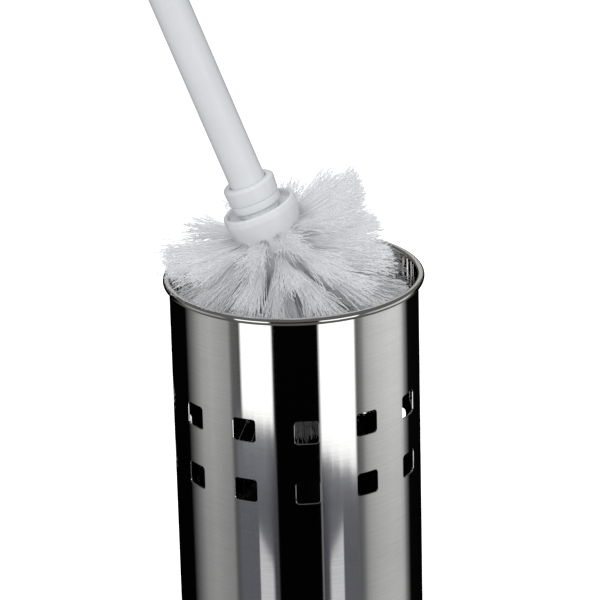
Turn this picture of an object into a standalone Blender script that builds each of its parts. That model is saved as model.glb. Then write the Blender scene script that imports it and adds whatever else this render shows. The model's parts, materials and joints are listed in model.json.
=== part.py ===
"""Stainless toilet brush holder with its brush standing tilted in the mouth.

Metres, +Z up. The origin is the centre of the pad's underside, where the holder
stands on the floor. The holder's pieces are turned about the world Z axis. The
brush's pieces are turned about the local Z axis of the empty brush_axis, whose
origin is the centre of the hub's lip and whose +Z runs up the handle.
"""

from math import asin, cos, degrees, pi, radians, sin, sqrt, tan

import bmesh
import bpy
from mathutils import Matrix, Vector

# ---- Driving dimensions of the holder ----
HOLDER_HEIGHT = 0.265  # floor to the top of the rolled rim
BODY_RADIUS = 0.0477  # outside of the sheet steel wall
BODY_WALL = 0.0006
RIM_OVERHANG = 0.0023  # how far the rolled bead stands out from the wall
HOLES_PER_ROW = 12
HOLE_SIZE = 0.0091  # square perforation, side to side
HOLE_CORNER = 0.0012
HOLE_ROW_DEPTHS = (0.04635, 0.07080)  # hole centres below the top of the rim
HOLE_START = radians(4.1)  # hole nearest the front, measured from -Y towards +X
HOLE_PITCH = radians(29.1)  # the blank across the back, where the sheet meets, is wider
PAD_THICKNESS = 0.0020
PAD_MARGIN = 0.0031  # from the pad's edge to the inside of the wall
PAD_PROUD = 0.0008  # how far the pad stands out below the base cap
CAP_FLOOR = 0.0027  # base cap's plate between the pad and the bottom plate
CAP_LIP_HEIGHT = 0.0040  # how far the cap's lip covers the wall's lower edge
CAP_LIP_WALL = 0.0015
GROOVE_DEPTH = 0.0020
PLATE_THICKNESS = 0.0008
CUP_HEIGHT = 0.0746
CUP_WALL = 0.0012
CUP_LIP_CLEARANCE = 0.0006  # between the cup's lip and the wall
CUP_SIDE_CLEARANCE = 0.0023  # between the cup's side and the wall, just under the lip
CUP_DRAFT = 0.0020  # how much narrower the cup is at its floor

# ---- Driving dimensions of the brush ----
BRUSH_TILT = radians(20.7)  # handle leans towards -X
WALL_CLEARANCE = 0.0010  # between the brush head's round end and the wall
RIM_CLEARANCE = 0.00224  # between the brush head's side and the bead that it leans over
LIP_RADIUS = 0.0143
LIP_WALL = 0.0018  # round the recess
RECESS_DEPTH = 0.0025
HUB_BULGE = 0.0002  # how far the widest ring stands out past the lip
HUB_WIDEST = 0.0028  # depth of the widest ring below the lip
HUB_LENGTH = 0.0580
HUB_EGG = 1.14  # exponent of the side's curve: 1 is a cone and 2 an ellipse
SPIGOT_RADIUS = 0.0050
SPIGOT_LENGTH = 0.0260
COLLAR_RADIUS = 0.0103
COLLAR_STEP = 0.0005  # how much narrower the collar's foot is
NECK_STEP = 0.0002  # how much narrower again the neck is
NECK_FOOT_STEP = 0.0016  # how much narrower the neck's foot is, down in the recess
NECK_FOOT_TOP = 0.0004  # above the lip
COLLAR_TOP = 0.0105  # above the lip
GROOVE_HEIGHT = 0.0036  # thin groove between the collars, above the lip
GROOVE_WIDTH = 0.0006
ROD_RADIUS = 0.0070
ROD_WALL = 0.0018
SOCKET_DEPTH = 0.0062
BRISTLE_SIDE_ROOM = 0.0071  # how much narrower the brush head is than the holder
BRISTLE_TOP = 0.0020  # top of the brush head's side below the lip
BRISTLE_ROOT = 0.0095  # first row's root below the lip
BRISTLE_STRAIGHT = 0.0515  # straight side above the round end
BRISTLE_ROWS = 7
ROW_GAP = 0.0012  # between two rows, at the brush head's surface

# ---- Driving dimensions of the lid and the grip ----
LID_HEIGHT = 0.1590  # lid's underside above the hub's lip
LID_THICKNESS = 0.0008
INSERT_CLEARANCE = 0.0013  # between the lid's insert and the holder's wall
INSERT_FLANGE = 0.0020
INSERT_HUB_RADIUS = 0.0120
INSERT_HUB_LENGTH = 0.0090
GRIP_RADIUS = 0.0110
GRIP_WALL = 0.0008
GRIP_LENGTH = 0.1150
CORE_LENGTH = 0.0256
ROD_IN_CORE = 0.0055
GRIP_CAP_HEIGHT = 0.0030
GRIP_PLUG_LENGTH = 0.0100
TIE_RADIUS = 0.0025
TIE_IN_FERRULE = 0.0160
TIE_PAST_NUT = 0.0030
NUT_HEIGHT = 0.0040
NUT_RADIUS = 0.0046  # across corners
NUT_SIDES = 6

# ---- Shared ----
FIT = 0.0003  # gap between neighbouring pieces
MERGE = 0.00001
ARC_STEPS = 2
HOLDER_STEPS = 72
SIDE_STEPS = 40
BRUSH_STEPS = 30
ROD_STEPS = 24

# ---- Heights and radii that follow from them ----
BODY_INNER = BODY_RADIUS - BODY_WALL
RIM_RADIUS = BODY_RADIUS + RIM_OVERHANG
BEAD_RADIUS = (RIM_RADIUS - BODY_INNER) / 2
PAD_RADIUS = BODY_INNER - PAD_MARGIN
CAP_UNDERSIDE = PAD_PROUD
CAP_RECESS_TOP = PAD_THICKNESS + FIT
CAP_FLOOR_TOP = CAP_RECESS_TOP + CAP_FLOOR
GROOVE_FLOOR = CAP_FLOOR_TOP - GROOVE_DEPTH
BODY_BOTTOM = GROOVE_FLOOR + FIT
PLATE_BOTTOM = CAP_FLOOR_TOP + FIT
CUP_BOTTOM = PLATE_BOTTOM + PLATE_THICKNESS + FIT
HUB_RADIUS = LIP_RADIUS + HUB_BULGE
RECESS_RADIUS = LIP_RADIUS - LIP_WALL
HUB_BORE = SPIGOT_RADIUS + FIT
COLLAR_FOOT_RADIUS = COLLAR_RADIUS - COLLAR_STEP
NECK_RADIUS = COLLAR_FOOT_RADIUS - NECK_STEP
NECK_FOOT_RADIUS = NECK_RADIUS - NECK_FOOT_STEP
ROD_BORE = ROD_RADIUS + FIT
TIE_BORE = TIE_RADIUS + FIT
COLLAR_SEAT = -RECESS_DEPTH + FIT
ROD_BOTTOM = COLLAR_TOP - SOCKET_DEPTH + FIT
LID_RADIUS = RIM_RADIUS
LID_TOP = LID_HEIGHT + LID_THICKNESS
CORE_BOTTOM = LID_TOP + FIT
CORE_TOP = CORE_BOTTOM + CORE_LENGTH
ROD_TOP = CORE_BOTTOM + ROD_IN_CORE - FIT
CORE_RADIUS = GRIP_RADIUS - GRIP_WALL - FIT
GRIP_TOP = CORE_BOTTOM + GRIP_LENGTH
NUT_BOTTOM = CORE_TOP + FIT

# ---- Where the tilted brush stands: its round end near the wall, its side over the bead ----
BRISTLE_RADIUS = BODY_INNER - BRISTLE_SIDE_ROOM
END_CENTRE_X = BODY_INNER - WALL_CLEARANCE - BRISTLE_RADIUS
END_CENTRE_DEPTH = BRISTLE_TOP + BRISTLE_STRAIGHT  # below the lip
LIP_CENTRE_X = END_CENTRE_X - END_CENTRE_DEPTH * sin(BRUSH_TILT)
BEAD_X = -(BODY_INNER + BEAD_RADIUS)
BEAD_REACH = BRISTLE_RADIUS + BEAD_RADIUS + RIM_CLEARANCE
BEAD_SLACK = BEAD_REACH + (BEAD_X - END_CENTRE_X) * cos(BRUSH_TILT)
END_CENTRE_ABOVE_RIM = -BEAD_RADIUS + BEAD_SLACK / sin(BRUSH_TILT)
LIP_CENTRE_ABOVE_RIM = END_CENTRE_ABOVE_RIM + END_CENTRE_DEPTH * cos(BRUSH_TILT)


def clear_scene():
    """Remove every object of the open file."""
    for obj in list(bpy.data.objects):
        bpy.data.objects.remove(obj, do_unlink=True)


def new_collection(name):
    """Return a new collection linked to the scene."""
    collection = bpy.data.collections.new(name)
    bpy.context.scene.collection.children.link(collection)
    return collection


def new_material(name, colour, roughness, metallic):
    """Return a Principled material of one colour."""
    material = bpy.data.materials.new(name)
    material.use_nodes = True
    shader = material.node_tree.nodes["Principled BSDF"]
    shader.inputs["Base Color"].default_value = (*colour, 1.0)
    shader.inputs["Roughness"].default_value = roughness
    shader.inputs["Metallic"].default_value = metallic
    return material


def arc(centre, radii, first, last, steps):
    """Return points of an elliptical arc in the profile plane, angles in degrees from +r."""
    points = []
    for i in range(steps + 1):
        angle = radians(first + (last - first) * i / steps)
        points.append((centre[0] + radii[0] * cos(angle), centre[1] + radii[1] * sin(angle)))
    return points


def rounded(corners, closed=False, steps=ARC_STEPS):
    """Return an outline's points, each corner (r, z, fillet) with a fillet made an arc."""
    points = []
    for i, (r, z, fillet) in enumerate(corners):
        here = Vector((r, z))
        if not fillet or (not closed and i in (0, len(corners) - 1)):
            points.append((r, z))
            continue
        back = (Vector(corners[i - 1][:2]) - here).normalized()
        on = (Vector(corners[(i + 1) % len(corners)][:2]) - here).normalized()
        half = back.angle(on) / 2
        centre = here + (back + on).normalized() * fillet / sin(half)
        start = here + back * fillet / tan(half) - centre
        sweep = pi - 2 * half
        side = 1 if back.x * on.y - back.y * on.x < 0 else -1
        for k in range(steps + 1):
            spoke = Matrix.Rotation(side * sweep * k / steps, 2) @ start
            points.append(tuple(centre + spoke))
    return points


def along(outline, fraction):
    """Return the point at this fraction of an outline's length."""
    lengths = [sqrt((b[0] - a[0]) ** 2 + (b[1] - a[1]) ** 2) for a, b in zip(outline, outline[1:])]
    left = fraction * sum(lengths)
    for a, b, length in zip(outline, outline[1:], lengths):
        if left <= length:
            share = left / length
            return (a[0] + (b[0] - a[0]) * share, a[1] + (b[1] - a[1]) * share)
        left -= length
    return outline[-1]


def finish_object(obj, collection, material, parent):
    """Link an object, dress it and hang it on its parent."""
    collection.objects.link(obj)
    obj.data.materials.append(material)
    obj.parent = parent
    return obj


def turned(name, profile, steps, collection, material, parent=None):
    """Return a piece turned about Z; a closed profile ends with its first point."""
    closed = profile[0] == profile[-1]
    points = profile[:-1] if closed else profile
    mesh = bpy.data.meshes.new(name)
    edges = [(i, i + 1) for i in range(len(points) - 1)]
    if closed:
        edges.append((len(points) - 1, 0))
    mesh.from_pydata([(r, 0, z) for r, z in points], edges, [])
    obj = bpy.data.objects.new(name, mesh)
    screw = obj.modifiers.new("turn", "SCREW")
    screw.axis = "Z"
    screw.steps = screw.render_steps = steps
    screw.use_merge_vertices = True
    screw.merge_threshold = MERGE
    screw.use_smooth_shade = True
    return finish_object(obj, collection, material, parent)


def ring(corners):
    """Return a closed profile from rounded corners."""
    points = rounded(corners, closed=True)
    return points + [points[0]]


def block_row(bm, depth):
    """Add one row of rounded radial blocks, which cut the perforations at this depth."""
    for k in range(HOLES_PER_ROW):
        angle = HOLE_START + (k - HOLES_PER_ROW // 2) * HOLE_PITCH
        made = bmesh.ops.create_cube(bm, size=1.0)["verts"]
        bmesh.ops.scale(bm, vec=(HOLE_SIZE, BODY_RADIUS / 4, HOLE_SIZE), verts=made)
        edges = {e for v in made for e in v.link_edges
                 if abs(e.verts[0].co.y - e.verts[1].co.y) > HOLE_SIZE / 2}
        block = bmesh.ops.bevel(bm, geom=list(edges), offset=HOLE_CORNER, segments=ARC_STEPS, profile=0.5,
                                affect="EDGES")
        verts = {v for f in block["faces"] for v in f.verts}
        place = Matrix.Rotation(angle, 4, "Z") @ Matrix.Translation((0, -BODY_RADIUS, 0))
        place = Matrix.Translation((0, 0, HOLDER_HEIGHT - depth)) @ place
        bmesh.ops.transform(bm, matrix=place, verts=list(verts))


def make_shell(collection, cutters, steel):
    """Make the perforated wall with its rolled rim."""
    bead = (BODY_INNER + BEAD_RADIUS, HOLDER_HEIGHT - BEAD_RADIUS)
    last = -90 - degrees(asin((bead[0] - BODY_RADIUS) / BEAD_RADIUS))
    profile = arc(bead, (BEAD_RADIUS, BEAD_RADIUS), 180, last, 4 * ARC_STEPS)
    profile += [(BODY_RADIUS, BODY_BOTTOM), (BODY_INNER, BODY_BOTTOM)]
    profile.append(profile[0])
    shell = turned("holder_shell", profile, HOLDER_STEPS, collection, steel)
    for row, depth in enumerate(HOLE_ROW_DEPTHS):
        mesh = bpy.data.meshes.new(f"perforation_cutter_{row}")
        bm = bmesh.new()
        block_row(bm, depth)
        bm.to_mesh(mesh)
        bm.free()
        cutter = bpy.data.objects.new(mesh.name, mesh)
        cutter.hide_render = True
        cutter.display_type = "WIRE"
        cutters.objects.link(cutter)
        cut = shell.modifiers.new(f"perforate_{row}", "BOOLEAN")
        cut.operation = "DIFFERENCE"
        cut.object = cutter


def make_base(collection, plastic, rubber, steel):
    """Make the base cap, the pad under it and the bottom plate on it."""
    turned("anti_slip_pad",
           rounded([(0, PAD_THICKNESS, 0), (PAD_RADIUS, PAD_THICKNESS, 0), (PAD_RADIUS, 0, 0), (0, 0, 0)]),
           SIDE_STEPS, collection, rubber)
    groove_in = BODY_INNER - FIT
    groove_out = BODY_RADIUS + FIT
    lip_out = groove_out + CAP_LIP_WALL
    lip_top = BODY_BOTTOM + CAP_LIP_HEIGHT
    recess = PAD_RADIUS + FIT
    turned("base_cap", rounded([
        (0, CAP_FLOOR_TOP, 0), (groove_in, CAP_FLOOR_TOP, 0), (groove_in, GROOVE_FLOOR, 0),
        (groove_out, GROOVE_FLOOR, 0), (groove_out, lip_top, 0), (lip_out, lip_top, CAP_LIP_WALL / 2),
        (lip_out, CAP_UNDERSIDE, CAP_LIP_WALL), (recess, CAP_UNDERSIDE, 0), (recess, CAP_RECESS_TOP, 0),
        (0, CAP_RECESS_TOP, 0)]), SIDE_STEPS, collection, plastic)
    plate_top = PLATE_BOTTOM + PLATE_THICKNESS
    plate_radius = BODY_INNER - FIT
    turned("bottom_plate",
           [(0, plate_top), (plate_radius, plate_top), (plate_radius, PLATE_BOTTOM), (0, PLATE_BOTTOM)],
           SIDE_STEPS, collection, steel)


def make_cup(collection, plastic):
    """Make the removable drip cup that stands on the bottom plate."""
    top = CUP_BOTTOM + CUP_HEIGHT
    lip = BODY_INNER - CUP_LIP_CLEARANCE
    side = BODY_INNER - CUP_SIDE_CLEARANCE
    foot = side - CUP_DRAFT
    floor = CUP_BOTTOM + CUP_WALL
    round_foot = 3 * CUP_WALL
    turned("drip_cup", rounded([
        (0, floor, 0), (foot - CUP_WALL, floor, round_foot - CUP_WALL), (side - CUP_WALL, top, CUP_WALL),
        (lip, top, CUP_WALL / 2), (lip, top - CUP_WALL, CUP_WALL / 3), (side, top - CUP_WALL, 0),
        (foot, CUP_BOTTOM, round_foot), (0, CUP_BOTTOM, 0)]), SIDE_STEPS, collection, plastic)


def hub_side(clearance, top, steps):
    """Return the egg-shaped side of the hub, from this depth below the lip down to its tip."""
    points = []
    if top < HUB_WIDEST:
        narrowing = HUB_RADIUS - LIP_RADIUS
        bulge = (HUB_WIDEST ** 2 + narrowing ** 2) / (2 * narrowing)
        for i in range(ARC_STEPS):
            depth = top + (HUB_WIDEST - top) * i / ARC_STEPS
            inset = bulge - sqrt(bulge ** 2 - (HUB_WIDEST - depth) ** 2)
            points.append((HUB_RADIUS - inset + clearance, -depth))
    radius, length = HUB_RADIUS + clearance, HUB_LENGTH - HUB_WIDEST + clearance
    start = asin((max(top - HUB_WIDEST, 0) / length) ** (HUB_EGG / 2))
    for i in range(steps + 1):
        angle = start + (pi / 2 - start) * i / steps
        points.append((radius * cos(angle) ** (2 / HUB_EGG), -HUB_WIDEST - length * sin(angle) ** (2 / HUB_EGG)))
    points[-1] = (0, points[-1][1])
    return points


def make_hub(collection, plastic, parent):
    """Make the hub, with the recess and the bore that take the ferrule."""
    bore_floor = -RECESS_DEPTH - SPIGOT_LENGTH - FIT
    lip_round = (LIP_RADIUS - RECESS_RADIUS) / 3
    inside = rounded([
        (0, bore_floor, 0), (HUB_BORE, bore_floor, 0), (HUB_BORE, -RECESS_DEPTH, 0),
        (RECESS_RADIUS, -RECESS_DEPTH, 0), (RECESS_RADIUS, 0, lip_round), (LIP_RADIUS, 0, lip_round),
        (LIP_RADIUS, -HUB_WIDEST, 0)])[:-1]
    side = hub_side(0, 3 * lip_round, 4 * ARC_STEPS)
    turned("brush_hub", inside + side, BRUSH_STEPS, collection, plastic, parent)


def make_bristles(collection, nylon, parent):
    """Make the rows of bristles, each one ring between the hub and the head's surface."""
    root = hub_side(FIT, BRISTLE_ROOT, 12 * ARC_STEPS)
    end = -BRISTLE_TOP - BRISTLE_STRAIGHT
    surface = [(BRISTLE_RADIUS, -BRISTLE_TOP)]
    surface += arc((0, end), (BRISTLE_RADIUS, BRISTLE_RADIUS), 0, -90, 12 * ARC_STEPS)
    surface[-1] = (0, surface[-1][1])
    length = BRISTLE_STRAIGHT + BRISTLE_RADIUS * pi / 2
    trim = ROW_GAP / length / 2
    for row in range(BRISTLE_ROWS + 1):
        first = row / (BRISTLE_ROWS + 1) + trim
        last = (row + 1) / (BRISTLE_ROWS + 1) - trim
        is_end = row == BRISTLE_ROWS
        if is_end:
            last = 1
        shares = [first + (last - first) * i / ARC_STEPS for i in range(ARC_STEPS + 1)]
        outer = [along(surface, share) for share in shares]
        inner = [along(root, share) for share in reversed(shares)]
        name = "bristle_end_tuft" if is_end else f"bristle_row_{row + 1}"
        if is_end:
            profile = inner + outer
        else:
            profile = outer + inner + [outer[0]]
        turned(name, profile, BRUSH_STEPS, collection, nylon, parent)


def make_handle(collection, plastic, steel, parent):
    """Make the ferrule, the hollow rod and the tie rod with its nut."""
    socket = COLLAR_TOP - SOCKET_DEPTH
    tie_bottom = socket - TIE_IN_FERRULE
    half_groove = GROOVE_WIDTH / 2
    groove_radius = NECK_RADIUS - half_groove
    spigot_end = -RECESS_DEPTH - SPIGOT_LENGTH
    turned("handle_ferrule", rounded([
        (0, tie_bottom, 0), (TIE_BORE, tie_bottom, 0), (TIE_BORE, socket, 0), (ROD_BORE, socket, 0),
        (ROD_BORE, COLLAR_TOP, 0), (COLLAR_RADIUS, COLLAR_TOP, 0.001),
        (COLLAR_FOOT_RADIUS, GROOVE_HEIGHT + half_groove, 0), (groove_radius, GROOVE_HEIGHT + half_groove, 0),
        (groove_radius, GROOVE_HEIGHT - half_groove, 0), (NECK_RADIUS, GROOVE_HEIGHT - half_groove, 0),
        (NECK_RADIUS, NECK_FOOT_TOP, 0), (NECK_FOOT_RADIUS, NECK_FOOT_TOP, 0), (NECK_FOOT_RADIUS, COLLAR_SEAT, 0),
        (SPIGOT_RADIUS, COLLAR_SEAT, 0), (SPIGOT_RADIUS, spigot_end, 0.0005),
        (0, spigot_end, 0)]), BRUSH_STEPS, collection, plastic, parent)
    rod_inner = ROD_RADIUS - ROD_WALL
    turned("handle_rod", ring([
        (ROD_RADIUS, ROD_TOP, 0), (ROD_RADIUS, ROD_BOTTOM, 0), (rod_inner, ROD_BOTTOM, 0), (rod_inner, ROD_TOP, 0)]),
        ROD_STEPS, collection, plastic, parent)
    tie_top = NUT_BOTTOM + NUT_HEIGHT + TIE_PAST_NUT
    turned("tie_rod", [(0, tie_top), (TIE_RADIUS, tie_top), (TIE_RADIUS, tie_bottom + FIT), (0, tie_bottom + FIT)],
           ROD_STEPS // 2, collection, steel, parent)
    nut_top = NUT_BOTTOM + NUT_HEIGHT
    bore = TIE_BORE / cos(pi / NUT_SIDES)
    turned("tie_nut", ring([
        (NUT_RADIUS, nut_top, 0), (NUT_RADIUS, NUT_BOTTOM, 0), (bore, NUT_BOTTOM, 0), (bore, nut_top, 0)]),
        NUT_SIDES, collection, steel, parent)


def make_lid(collection, plastic, steel, parent):
    """Make the lid plate and the insert under it that centres it in the mouth."""
    turned("lid_plate", ring([
        (LID_RADIUS, LID_TOP, LID_THICKNESS / 3), (LID_RADIUS, LID_HEIGHT, LID_THICKNESS / 3),
        (ROD_BORE, LID_HEIGHT, 0), (ROD_BORE, LID_TOP, 0)]), SIDE_STEPS, collection, steel, parent)
    top = LID_HEIGHT - FIT
    flange = BODY_INNER - INSERT_CLEARANCE
    turned("lid_insert", ring([
        (flange, top, 0), (flange, top - INSERT_FLANGE, INSERT_FLANGE / 2),
        (INSERT_HUB_RADIUS, top - INSERT_FLANGE, INSERT_FLANGE),
        (INSERT_HUB_RADIUS, top - INSERT_HUB_LENGTH, INSERT_FLANGE / 2),
        (ROD_BORE, top - INSERT_HUB_LENGTH, 0), (ROD_BORE, top, 0)]), SIDE_STEPS, collection, plastic, parent)


def make_grip(collection, plastic, steel, parent):
    """Make the grip's core, its tube and the cap that closes it."""
    turned("grip_core", ring([
        (CORE_RADIUS, CORE_TOP, 0), (CORE_RADIUS, CORE_BOTTOM, 0), (ROD_BORE, CORE_BOTTOM, 0),
        (ROD_BORE, ROD_TOP + FIT, 0), (TIE_BORE, ROD_TOP + FIT, 0), (TIE_BORE, CORE_TOP, 0)]),
        ROD_STEPS, collection, plastic, parent)
    tube_inner = GRIP_RADIUS - GRIP_WALL
    turned("grip_tube", ring([
        (GRIP_RADIUS, GRIP_TOP, 0), (GRIP_RADIUS, CORE_BOTTOM, 0), (tube_inner, CORE_BOTTOM, 0),
        (tube_inner, GRIP_TOP, 0)]), BRUSH_STEPS, collection, steel, parent)
    cap_bottom = GRIP_TOP + FIT
    cap_top = cap_bottom + GRIP_CAP_HEIGHT
    turned("grip_cap", rounded([
        (0, cap_top, 0), (GRIP_RADIUS, cap_top, GRIP_CAP_HEIGHT / 2), (GRIP_RADIUS, cap_bottom, 0),
        (CORE_RADIUS, cap_bottom, 0), (CORE_RADIUS, cap_bottom - GRIP_PLUG_LENGTH, 0),
        (0, cap_bottom - GRIP_PLUG_LENGTH, 0)]), BRUSH_STEPS, collection, steel, parent)


def main():
    """Build the whole object."""
    clear_scene()
    parts = new_collection("toilet_brush_holder")
    cutters = new_collection("cutters")
    polished = new_material("polished_steel", (0.62, 0.62, 0.61), 0.15, 1.0)
    steel = new_material("plain_steel", (0.55, 0.55, 0.55), 0.35, 1.0)
    white = new_material("white_plastic", (0.80, 0.81, 0.82), 0.30, 0.0)
    black = new_material("black_plastic", (0.03, 0.03, 0.03), 0.50, 0.0)
    grey = new_material("grey_plastic", (0.35, 0.36, 0.37), 0.45, 0.0)
    nylon = new_material("white_nylon", (0.74, 0.76, 0.78), 0.60, 0.0)
    rubber = new_material("black_rubber", (0.04, 0.04, 0.04), 0.85, 0.0)
    make_shell(parts, cutters, polished)
    make_base(parts, black, rubber, steel)
    make_cup(parts, grey)
    axis = bpy.data.objects.new("brush_axis", None)
    axis.location = (LIP_CENTRE_X, 0, HOLDER_HEIGHT + LIP_CENTRE_ABOVE_RIM)
    axis.rotation_euler = (0, -BRUSH_TILT, 0)
    parts.objects.link(axis)
    make_hub(parts, white, axis)
    make_bristles(parts, nylon, axis)
    make_handle(parts, white, steel, axis)
    make_lid(parts, white, polished, axis)
    make_grip(parts, white, polished, axis)


main()
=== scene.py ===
"""Looks of the steel toilet brush holder and its white brush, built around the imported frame."""

import json
import logging
import math
from dataclasses import dataclass
from enum import Enum
from typing import Any, Iterable, Mapping, Sequence, Union

import bpy
import numpy as np
from mathutils import Matrix, Quaternion, Vector


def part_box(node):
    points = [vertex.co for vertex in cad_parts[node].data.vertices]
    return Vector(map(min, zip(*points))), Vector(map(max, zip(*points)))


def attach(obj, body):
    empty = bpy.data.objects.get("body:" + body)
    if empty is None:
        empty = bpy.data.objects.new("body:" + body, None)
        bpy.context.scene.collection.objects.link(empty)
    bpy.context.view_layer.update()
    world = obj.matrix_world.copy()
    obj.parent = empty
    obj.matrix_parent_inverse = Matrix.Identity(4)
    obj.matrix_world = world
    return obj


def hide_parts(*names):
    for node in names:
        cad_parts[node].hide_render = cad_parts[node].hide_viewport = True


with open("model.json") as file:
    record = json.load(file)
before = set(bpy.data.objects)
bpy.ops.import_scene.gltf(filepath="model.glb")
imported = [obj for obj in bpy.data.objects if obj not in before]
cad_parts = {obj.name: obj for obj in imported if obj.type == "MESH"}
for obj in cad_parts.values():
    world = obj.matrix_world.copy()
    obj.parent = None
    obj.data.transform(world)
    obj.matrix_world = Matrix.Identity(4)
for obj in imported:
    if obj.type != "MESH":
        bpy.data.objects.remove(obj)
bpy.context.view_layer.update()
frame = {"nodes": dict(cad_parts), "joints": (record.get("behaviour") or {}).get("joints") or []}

MM = 0.001
LOG = logging.getLogger("toilet_brush_holder")
Point = tuple[float, float]
Corner = tuple[float, float, float]
Input = Union["Wire", float, tuple, str, bpy.types.ID]
BLACK = (0.0, 0.0, 0.0, 1.0)


# ---------------------------------------------------------------- node writing

class Wire:
    """A node's output, which arithmetic extends with Math and Vector Math nodes."""

    def __init__(self, graph: "Graph", socket: bpy.types.NodeSocket) -> None:
        """Hold the output and the graph it belongs to."""
        self.graph = graph
        self.socket = socket

    def of(self, output: str) -> "Wire":
        """Return another output of the same node, by its identifier or name."""
        return Wire(self.graph, self.graph.pick(self.socket.node.outputs, output))

    def _with(self, operation: str, left: Input, right: Input) -> "Wire":
        """Return the two values joined by a Math node, or by Vector Math if one is a vector."""
        vectors = any(
            isinstance(v, (tuple, Vector)) or (isinstance(v, Wire) and v.socket.type == "VECTOR")
            for v in (left, right)
        )
        kind = "ShaderNodeVectorMath" if vectors else "ShaderNodeMath"
        return self.graph.add(kind, {"operation": operation}, {0: left, 1: right})

    def __add__(self, other: Input) -> "Wire":
        """Return self + other."""
        return self._with("ADD", self, other)

    def __radd__(self, other: Input) -> "Wire":
        """Return other + self."""
        return self._with("ADD", other, self)

    def __sub__(self, other: Input) -> "Wire":
        """Return self - other."""
        return self._with("SUBTRACT", self, other)

    def __rsub__(self, other: Input) -> "Wire":
        """Return other - self."""
        return self._with("SUBTRACT", other, self)

    def __mul__(self, other: Input) -> "Wire":
        """Return self * other, part by part for vectors."""
        return self._with("MULTIPLY", self, other)

    def __rmul__(self, other: Input) -> "Wire":
        """Return other * self, part by part for vectors."""
        return self._with("MULTIPLY", other, self)

    def __truediv__(self, other: Input) -> "Wire":
        """Return self / other."""
        return self._with("DIVIDE", self, other)


class Graph:
    """Adds nodes to one tree."""

    def __init__(self, tree: bpy.types.NodeTree) -> None:
        """Hold the tree that the nodes go into."""
        self.tree = tree

    @staticmethod
    def pick(sockets: Iterable[bpy.types.NodeSocket], key: Union[int, str]) -> bpy.types.NodeSocket:
        """Find a socket.

        Args:
            sockets: a node's inputs or outputs.
            key: a position, an identifier, or the name of a socket in use.

        Returns:
            The socket.
        """
        sockets = list(sockets)
        if isinstance(key, int):
            return sockets[key]
        named = [s for s in sockets if s.name == key and s.enabled]
        return ([s for s in sockets if s.identifier == key] + named)[0]

    def add(self, kind: str, settings: Mapping[str, Any] = {}, sockets: Mapping[Union[int, str], Input] = {},
            output: Union[int, str, None] = None) -> Wire:
        """Add a node.

        Args:
            kind: the node's type.
            settings: its properties, set before its sockets.
            sockets: values or wires for its inputs.
            output: the output wanted, the first one in use if none is named.

        Returns:
            That output.
        """
        node = self.tree.nodes.new(kind)
        for name, value in settings.items():
            if name == "stops":
                self._set_stops(node, value)
            else:
                setattr(node, name, value)
        for key, value in sockets.items():
            socket = self.pick(node.inputs, key)
            if isinstance(value, Wire):
                self.tree.links.new(value.socket, socket)
            elif socket.type == "VECTOR" and isinstance(value, (int, float)):
                socket.default_value = (value,) * 3
            else:
                socket.default_value = value
        if output is None:
            live = [s for s in node.outputs if s.enabled]
            return Wire(self, live[0] if live else node.inputs[0])
        return Wire(self, self.pick(node.outputs, output))

    @staticmethod
    def _set_stops(node: bpy.types.Node, stops: Sequence[tuple[float, Sequence[float]]]) -> None:
        """Give a colour ramp its stops, each a place from 0 to 1 and a colour."""
        ramp = node.color_ramp.elements
        while len(ramp) > 1:
            ramp.remove(ramp[-1])
        for i, (place, colour) in enumerate(stops):
            stop = ramp[0] if i == 0 else ramp.new(place)
            stop.position = place
            stop.color = (*colour, 1.0)

    def maths(self, operation: str, *values: Input) -> Wire:
        """Return a Math node's result for these values."""
        return self.add("ShaderNodeMath", {"operation": operation}, dict(enumerate(values)))

    def smooth(self, value: Input, low: float, high: float) -> Wire:
        """Return 0 below low, 1 above high and a smooth step between."""
        return self.add("ShaderNodeMapRange", {"interpolation_type": "SMOOTHSTEP"},
                        {"Value": value, "From Min": low, "From Max": high})

    def join(self, x: Input, y: Input, z: Input) -> Wire:
        """Return the vector of three numbers."""
        return self.add("ShaderNodeCombineXYZ", {}, {0: x, 1: y, 2: z})

    def blend(self, share: Input, first: Input, second: Input, kind: str = "RGBA") -> Wire:
        """Mix two values.

        Args:
            share: 0 for the first, 1 for the second.
            first: a value or wire.
            second: a value or wire.
            kind: FLOAT, VECTOR or RGBA.

        Returns:
            The mixed value.
        """
        ending = {"FLOAT": "Float", "VECTOR": "Vector", "RGBA": "Color"}[kind]
        values = {"Factor_Float": share, f"A_{ending}": first, f"B_{ending}": second}
        return self.add("ShaderNodeMix", {"data_type": kind}, values, f"Result_{ending}")

    def split(self, vector: Input) -> tuple[Wire, Wire, Wire]:
        """Return a vector's three numbers."""
        parts = self.add("ShaderNodeSeparateXYZ", {}, {0: vector})
        return parts.of("X"), parts.of("Y"), parts.of("Z")

    def noise(self, spot: Wire, scale: float = 1.0, detail: float = 2.0, roughness: float = 0.5) -> Wire:
        """Return smooth noise from 0 to 1 at this spot, its features 1 / scale apart."""
        return self.add("ShaderNodeTexNoise", {}, {
            "Vector": spot, "Scale": scale, "Detail": detail, "Roughness": roughness})

    def bump(self, height: Wire, depth: float, strength: float = 1.0) -> Wire:
        """Return the normals of a skin this deep, in metres."""
        return self.add("ShaderNodeBump", {}, {"Strength": strength, "Distance": depth, "Height": height})


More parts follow.
